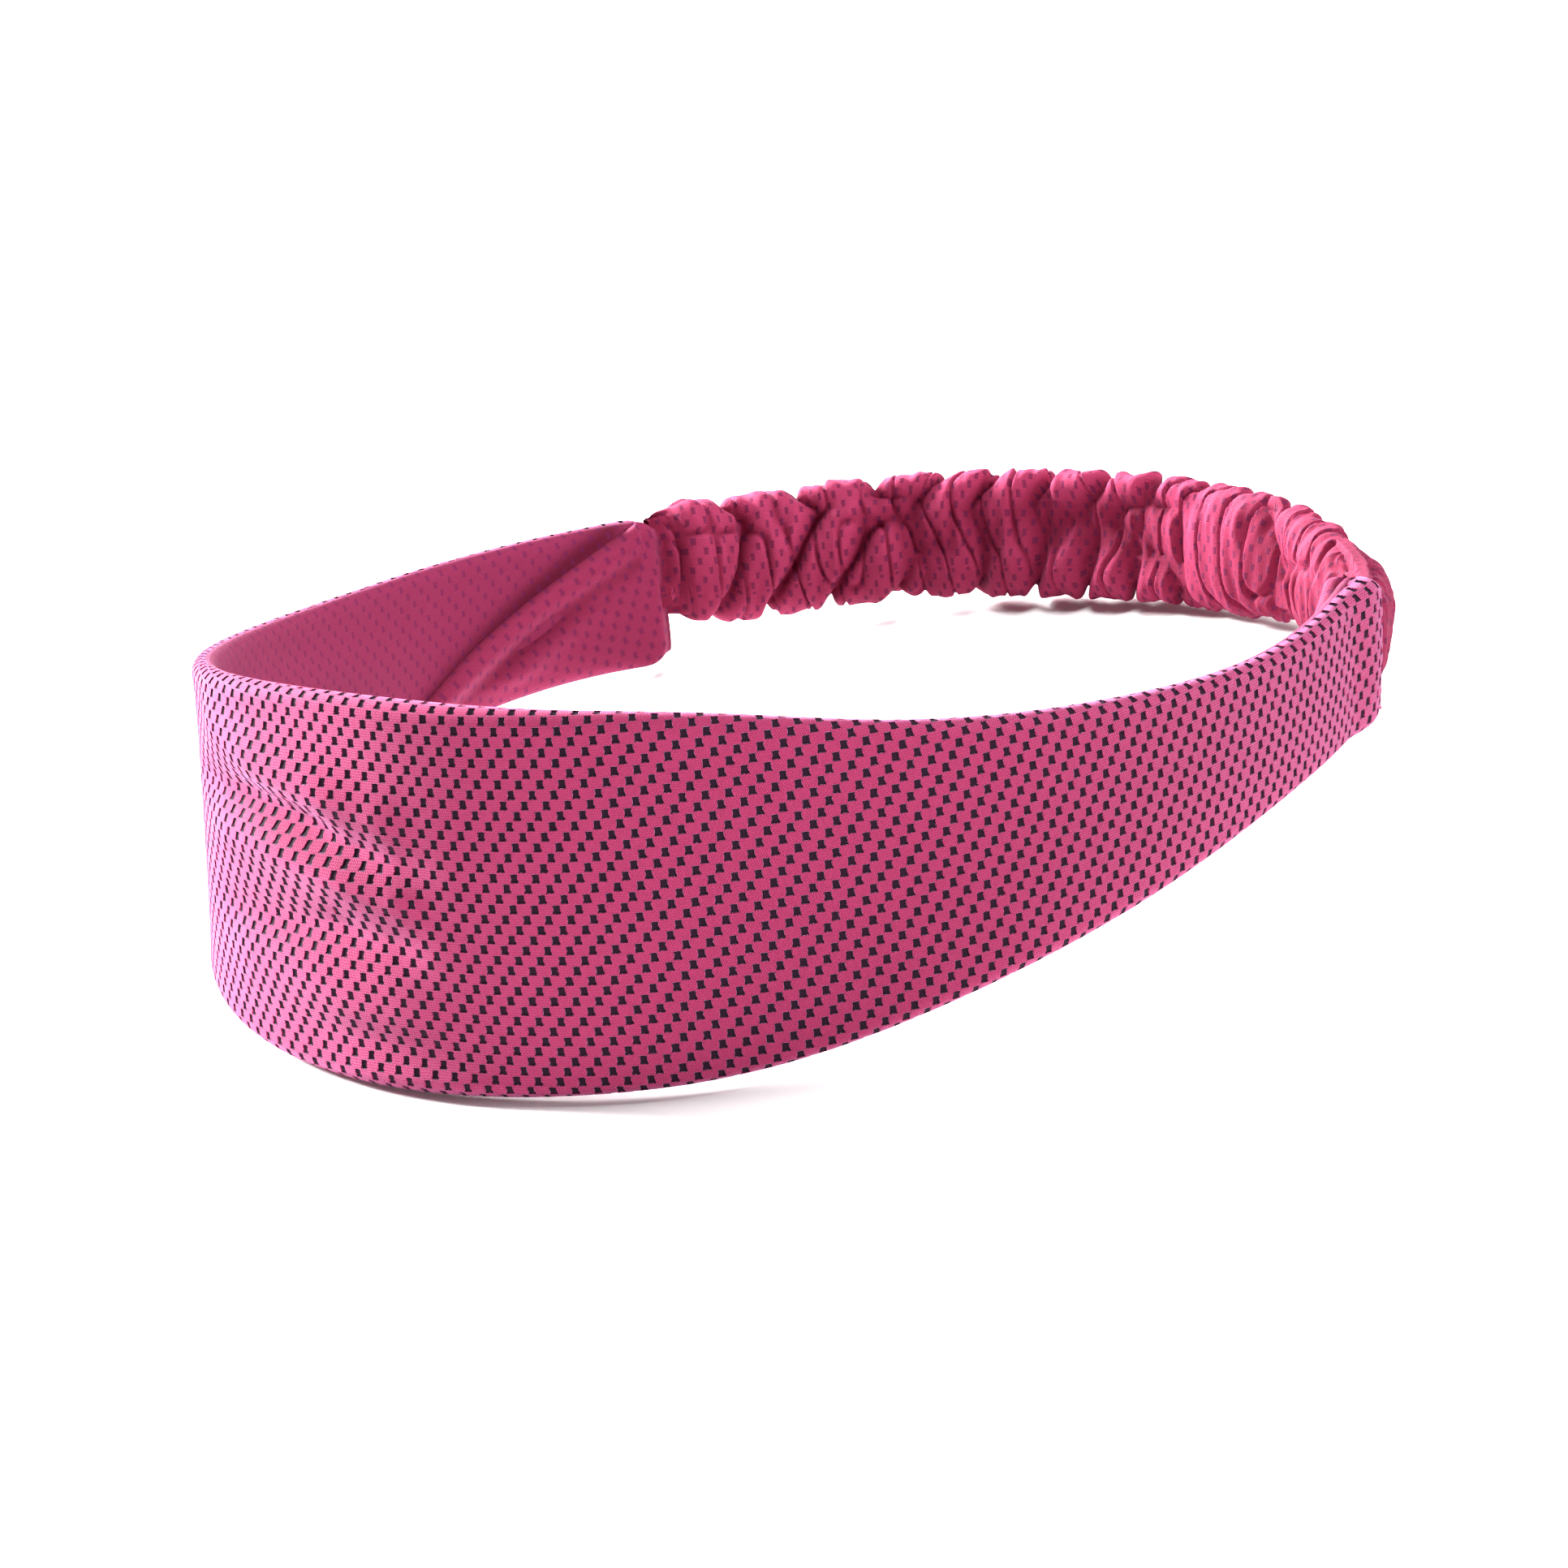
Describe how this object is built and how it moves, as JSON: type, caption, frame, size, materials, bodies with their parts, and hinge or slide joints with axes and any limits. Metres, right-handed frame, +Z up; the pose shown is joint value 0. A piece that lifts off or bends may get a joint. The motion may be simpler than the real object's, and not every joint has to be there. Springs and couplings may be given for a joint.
{
  "type": "sports headband",
  "caption": "Soft sports headband: wide tapering two-layer mesh-knit front panel, narrow gathered casing with elastic inside at the rear.",
  "frame": {"origin": "bottom centre of the bounding box: the table plane under the middle of the head opening", "axes": "+Z up, -Y the wearer's front, +X the wearer's left, so the gathered rear is at +Y"},
  "size_m": [0.143, 0.1754, 0.0512],
  "materials": {
    "face_mesh": "matt perforated polyester mesh knit",
    "lining_knit": "matt smooth knit",
    "flap_mesh": "matt perforated polyester mesh knit, grain turned",
    "casing_mesh": "matt gathered mesh knit",
    "elastic": "woven elastic",
    "sewing_thread": "polyester sewing thread"
  },
  "bodies": {
    "front": {"face_panel": "face_mesh", "lining_panel": "lining_knit", "left_turned_in_flap": "flap_mesh", "right_turned_in_flap": "flap_mesh", "top_edge_thread": "sewing_thread", "bottom_edge_thread": "sewing_thread", "left_end_outer_thread": "sewing_thread", "left_end_inner_thread": "sewing_thread", "right_end_outer_thread": "sewing_thread", "right_end_inner_thread": "sewing_thread", "left_elastic_tail": "elastic", "right_elastic_tail": "elastic"},
    "rear": {"rear_casing": "casing_mesh", "rear_elastic": "elastic", "rear_casing_seam": "casing_mesh"},
    "left_side": {"left_casing": "casing_mesh", "left_elastic": "elastic", "left_casing_seam": "casing_mesh"},
    "right_side": {"right_casing": "casing_mesh", "right_elastic": "elastic", "right_casing_seam": "casing_mesh"}
  },
  "joints": [
    {"name": "rear_stretch", "type": "slide", "parent": "front", "child": "rear", "axis": [0, 1, 0], "range_m": [0, 0.036], "stiffness_N_per_m": 60},
    {"name": "left_side_stretch", "type": "slide", "parent": "front", "child": "left_side", "axis": [0, 1, 0], "range_m": [0, 0.018]},
    {"name": "right_side_stretch", "type": "slide", "parent": "front", "child": "right_side", "axis": [0, 1, 0], "range_m": [0, 0.018]}
  ],
  "couplings": [
    {"joint": "left_side_stretch", "follows": "rear_stretch", "ratio": 0.5},
    {"joint": "right_side_stretch", "follows": "rear_stretch", "ratio": 0.5}
  ]
}
